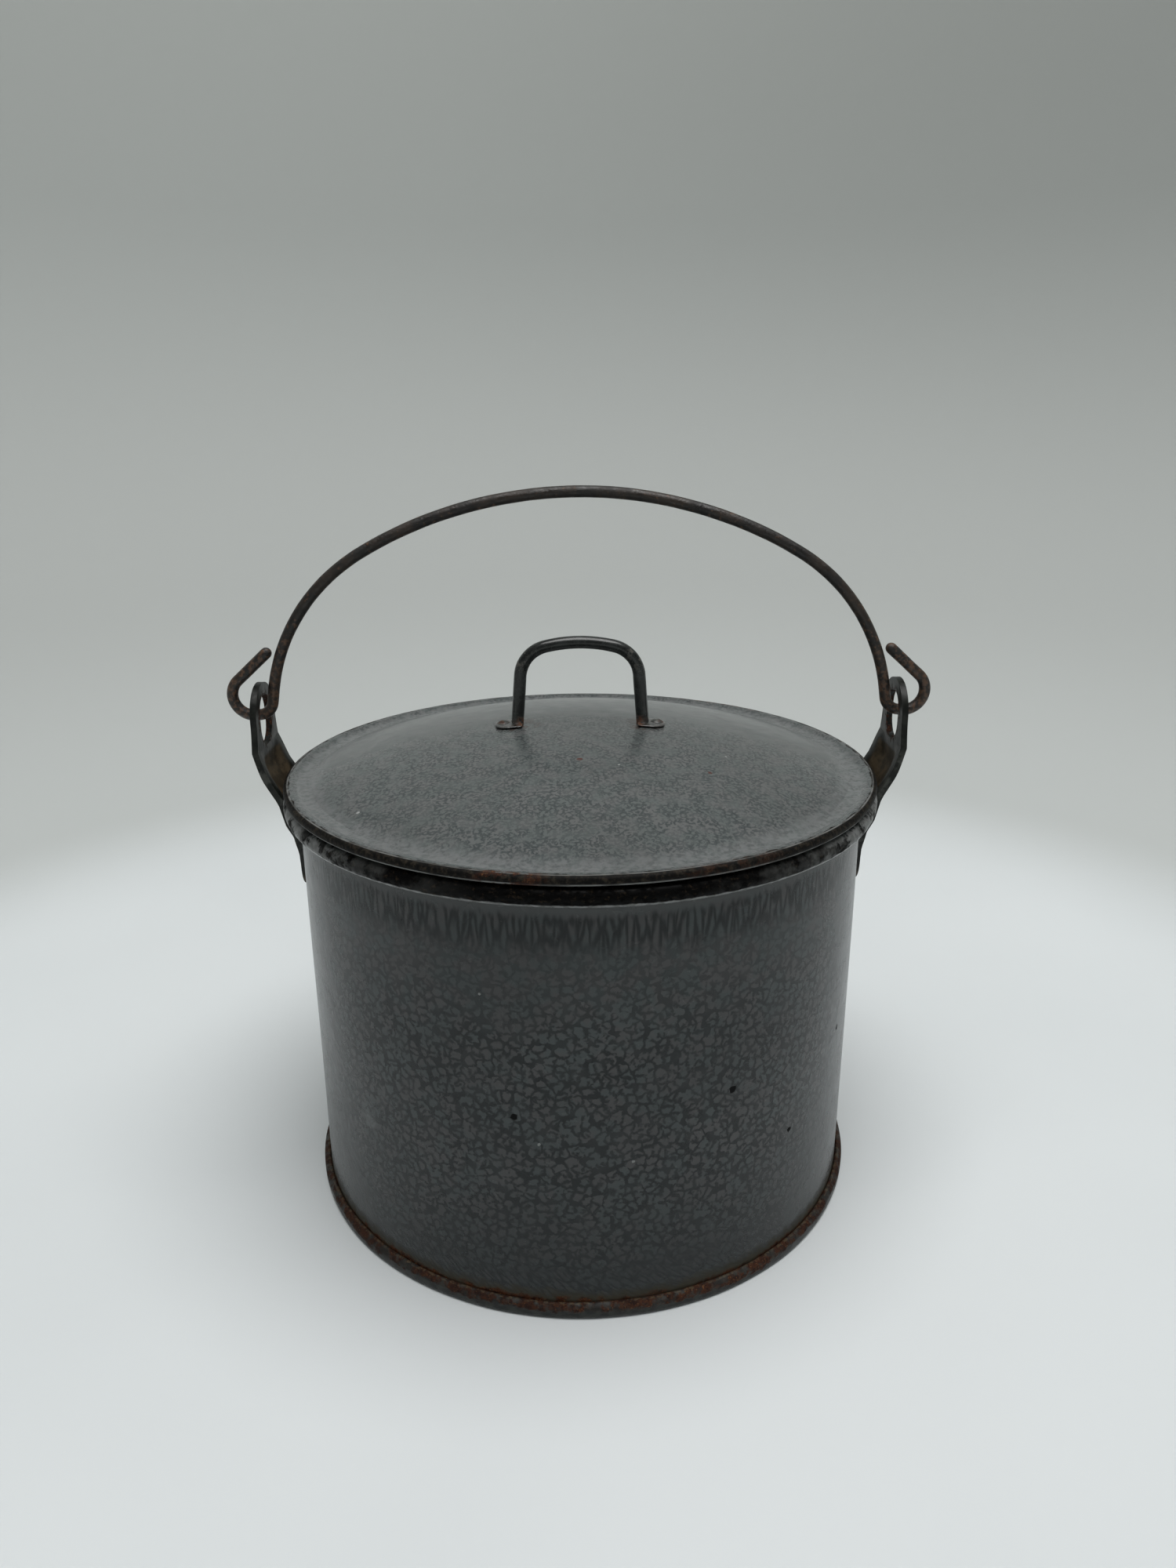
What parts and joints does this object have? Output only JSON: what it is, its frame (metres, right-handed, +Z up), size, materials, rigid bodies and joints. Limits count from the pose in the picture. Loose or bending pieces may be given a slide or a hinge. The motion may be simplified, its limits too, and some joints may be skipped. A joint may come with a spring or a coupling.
{
  "type": "covered enamel pail",
  "caption": "Round mottled grey enamelled steel pail with a hinged wire bail hooked into riveted ears, a domed lift-off lid and a bent rod handle on the lid.",
  "frame": {"origin": "centre of the circle on which the foot seam stands, on the ground", "axes": "+Z up along the pail's axis; X through both ears, along the bail's swing axis; -Y is the front that faces the user"},
  "size_m": [0.1932, 0.1626, 0.1949],
  "materials": {
    "wall_enamel": "glossy mottled grey vitreous enamel on steel",
    "lid_enamel": "glossy, finely mottled lighter grey vitreous enamel on steel",
    "dark_enamel": "dark glossy enamel worn to brown at edges",
    "rusty_wire": "dark, satin, rust-browned iron wire",
    "worn_steel": "worn, browned steel"
  },
  "bodies": {
    "pail": {"pot_wall": "wall_enamel", "rim_wire": "worn_steel", "base_disc": "wall_enamel", "left_ear": "dark_enamel", "right_ear": "dark_enamel", "left_front_rivet": "worn_steel", "left_rear_rivet": "worn_steel", "right_front_rivet": "worn_steel", "right_rear_rivet": "worn_steel"},
    "bail": {"bail": "rusty_wire"},
    "lid": {"lid": "lid_enamel", "lid_collar": "wall_enamel", "lid_handle": "dark_enamel", "left_handle_rivet": "worn_steel", "right_handle_rivet": "worn_steel"}
  },
  "joints": [
    {"name": "bail_swing", "type": "hinge", "parent": "pail", "child": "bail", "pos_m": [0, 0, 0.1343], "axis": [1, 0, 0], "range_deg": [-98, 98]},
    {"name": "lid_lift", "type": "slide", "parent": "pail", "child": "lid", "axis": [0, 0, 1], "range_m": [0, 0.022]}
  ]
}
